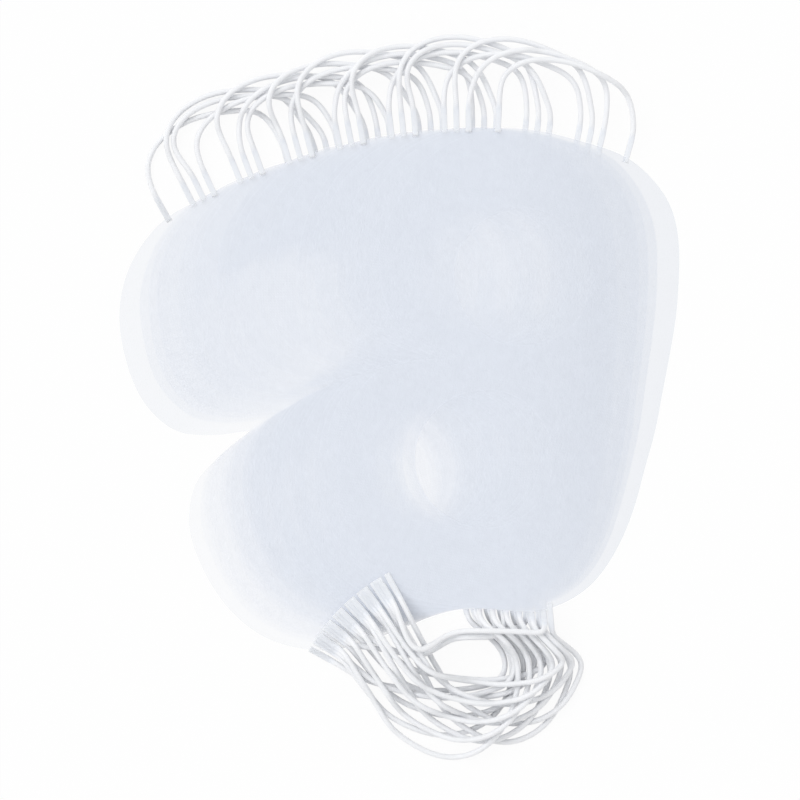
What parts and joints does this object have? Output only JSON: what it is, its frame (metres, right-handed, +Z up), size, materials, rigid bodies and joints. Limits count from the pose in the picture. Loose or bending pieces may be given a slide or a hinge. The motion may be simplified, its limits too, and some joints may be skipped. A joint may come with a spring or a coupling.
{
  "type": "fanned bundle of disposable face masks",
  "caption": "Fanned bundle of flat nonwoven disposable masks, each with two round openings, a nose notch and an elastic ear loop on both ends, the lower loops gathered in a ring.",
  "frame": {"origin": "middle of the lowest mask's bridge, between its two openings, on the surface that the bundle rests on", "axes": "+Z up, out of the stack; +Y from the gathered lower loops towards the upper loops; +X from the notched side towards the smooth side"},
  "size_m": [0.2556, 0.3304, 0.0238],
  "materials": {
    "nonwoven": "soft bonded nonwoven, slightly translucent",
    "elastic": "knitted round elastic, matte"
  },
  "bodies": {
    "mask_01": {"mask_01_sheet": "nonwoven", "mask_01_upper_loop": "elastic", "mask_01_lower_loop": "elastic"},
    "mask_02": {"mask_02_sheet": "nonwoven", "mask_02_upper_loop": "elastic", "mask_02_lower_loop": "elastic"},
    "mask_03": {"mask_03_sheet": "nonwoven", "mask_03_upper_loop": "elastic", "mask_03_lower_loop": "elastic"},
    "mask_04": {"mask_04_sheet": "nonwoven", "mask_04_upper_loop": "elastic", "mask_04_lower_loop": "elastic"},
    "mask_05": {"mask_05_sheet": "nonwoven", "mask_05_upper_loop": "elastic", "mask_05_lower_loop": "elastic"},
    "mask_06": {"mask_06_sheet": "nonwoven", "mask_06_upper_loop": "elastic", "mask_06_lower_loop": "elastic"},
    "mask_07": {"mask_07_sheet": "nonwoven", "mask_07_upper_loop": "elastic", "mask_07_lower_loop": "elastic"},
    "mask_08": {"mask_08_sheet": "nonwoven", "mask_08_upper_loop": "elastic", "mask_08_lower_loop": "elastic"},
    "mask_09": {"mask_09_sheet": "nonwoven", "mask_09_upper_loop": "elastic", "mask_09_lower_loop": "elastic"},
    "mask_10": {"mask_10_sheet": "nonwoven", "mask_10_upper_loop": "elastic", "mask_10_lower_loop": "elastic"},
    "mask_11": {"mask_11_sheet": "nonwoven", "mask_11_upper_loop": "elastic", "mask_11_lower_loop": "elastic"},
    "mask_12": {"mask_12_sheet": "nonwoven", "mask_12_upper_loop": "elastic", "mask_12_lower_loop": "elastic"},
    "mask_13": {"mask_13_sheet": "nonwoven", "mask_13_upper_loop": "elastic", "mask_13_lower_loop": "elastic"},
    "mask_14": {"mask_14_sheet": "nonwoven", "mask_14_upper_loop": "elastic", "mask_14_lower_loop": "elastic"},
    "mask_15": {"mask_15_sheet": "nonwoven", "mask_15_upper_loop": "elastic", "mask_15_lower_loop": "elastic"},
    "mask_16": {"mask_16_sheet": "nonwoven", "mask_16_upper_loop": "elastic", "mask_16_lower_loop": "elastic"},
    "mask_17": {"mask_17_sheet": "nonwoven", "mask_17_upper_loop": "elastic", "mask_17_lower_loop": "elastic"},
    "mask_18": {"mask_18_sheet": "nonwoven", "mask_18_upper_loop": "elastic", "mask_18_lower_loop": "elastic"},
    "mask_19": {"mask_19_sheet": "nonwoven", "mask_19_upper_loop": "elastic", "mask_19_lower_loop": "elastic"},
    "mask_20": {"mask_20_sheet": "nonwoven", "mask_20_upper_loop": "elastic", "mask_20_lower_loop": "elastic"}
  },
  "joints": [
    {"name": "mask_02_lift", "type": "slide", "parent": "mask_01", "child": "mask_02", "axis": [0, 0, 1], "range_m": [0, 0.06], "deforming": ["mask_02_lower_loop"]},
    {"name": "mask_03_lift", "type": "slide", "parent": "mask_02", "child": "mask_03", "axis": [0, 0, 1], "range_m": [0, 0.06], "deforming": ["mask_03_lower_loop"]},
    {"name": "mask_04_lift", "type": "slide", "parent": "mask_03", "child": "mask_04", "axis": [0, 0, 1], "range_m": [0, 0.06], "deforming": ["mask_04_lower_loop"]},
    {"name": "mask_05_lift", "type": "slide", "parent": "mask_04", "child": "mask_05", "axis": [0, 0, 1], "range_m": [0, 0.06], "deforming": ["mask_05_lower_loop"]},
    {"name": "mask_06_lift", "type": "slide", "parent": "mask_05", "child": "mask_06", "axis": [0, 0, 1], "range_m": [0, 0.06], "deforming": ["mask_06_lower_loop"]},
    {"name": "mask_07_lift", "type": "slide", "parent": "mask_06", "child": "mask_07", "axis": [0, 0, 1], "range_m": [0, 0.06], "deforming": ["mask_07_lower_loop"]},
    {"name": "mask_08_lift", "type": "slide", "parent": "mask_07", "child": "mask_08", "axis": [0, 0, 1], "range_m": [0, 0.06], "deforming": ["mask_08_lower_loop"]},
    {"name": "mask_09_lift", "type": "slide", "parent": "mask_08", "child": "mask_09", "axis": [0, 0, 1], "range_m": [0, 0.06], "deforming": ["mask_09_lower_loop"]},
    {"name": "mask_10_lift", "type": "slide", "parent": "mask_09", "child": "mask_10", "axis": [0, 0, 1], "range_m": [0, 0.06], "deforming": ["mask_10_lower_loop"]},
    {"name": "mask_11_lift", "type": "slide", "parent": "mask_10", "child": "mask_11", "axis": [0, 0, 1], "range_m": [0, 0.06], "deforming": ["mask_11_lower_loop"]},
    {"name": "mask_12_lift", "type": "slide", "parent": "mask_11", "child": "mask_12", "axis": [0, 0, 1], "range_m": [0, 0.06], "deforming": ["mask_12_lower_loop"]},
    {"name": "mask_13_lift", "type": "slide", "parent": "mask_12", "child": "mask_13", "axis": [0, 0, 1], "range_m": [0, 0.06], "deforming": ["mask_13_lower_loop"]},
    {"name": "mask_14_lift", "type": "slide", "parent": "mask_13", "child": "mask_14", "axis": [0, 0, 1], "range_m": [0, 0.06], "deforming": ["mask_14_lower_loop"]},
    {"name": "mask_15_lift", "type": "slide", "parent": "mask_14", "child": "mask_15", "axis": [0, 0, 1], "range_m": [0, 0.06], "deforming": ["mask_15_lower_loop"]},
    {"name": "mask_16_lift", "type": "slide", "parent": "mask_15", "child": "mask_16", "axis": [0, 0, 1], "range_m": [0, 0.06], "deforming": ["mask_16_lower_loop"]},
    {"name": "mask_17_lift", "type": "slide", "parent": "mask_16", "child": "mask_17", "axis": [0, 0, 1], "range_m": [0, 0.06], "deforming": ["mask_17_lower_loop"]},
    {"name": "mask_18_lift", "type": "slide", "parent": "mask_17", "child": "mask_18", "axis": [0, 0, 1], "range_m": [0, 0.06], "deforming": ["mask_18_lower_loop"]},
    {"name": "mask_19_lift", "type": "slide", "parent": "mask_18", "child": "mask_19", "axis": [0, 0, 1], "range_m": [0, 0.06], "deforming": ["mask_19_lower_loop"]},
    {"name": "mask_20_lift", "type": "slide", "parent": "mask_19", "child": "mask_20", "axis": [0, 0, 1], "range_m": [0, 0.06], "deforming": ["mask_20_lower_loop"]}
  ]
}
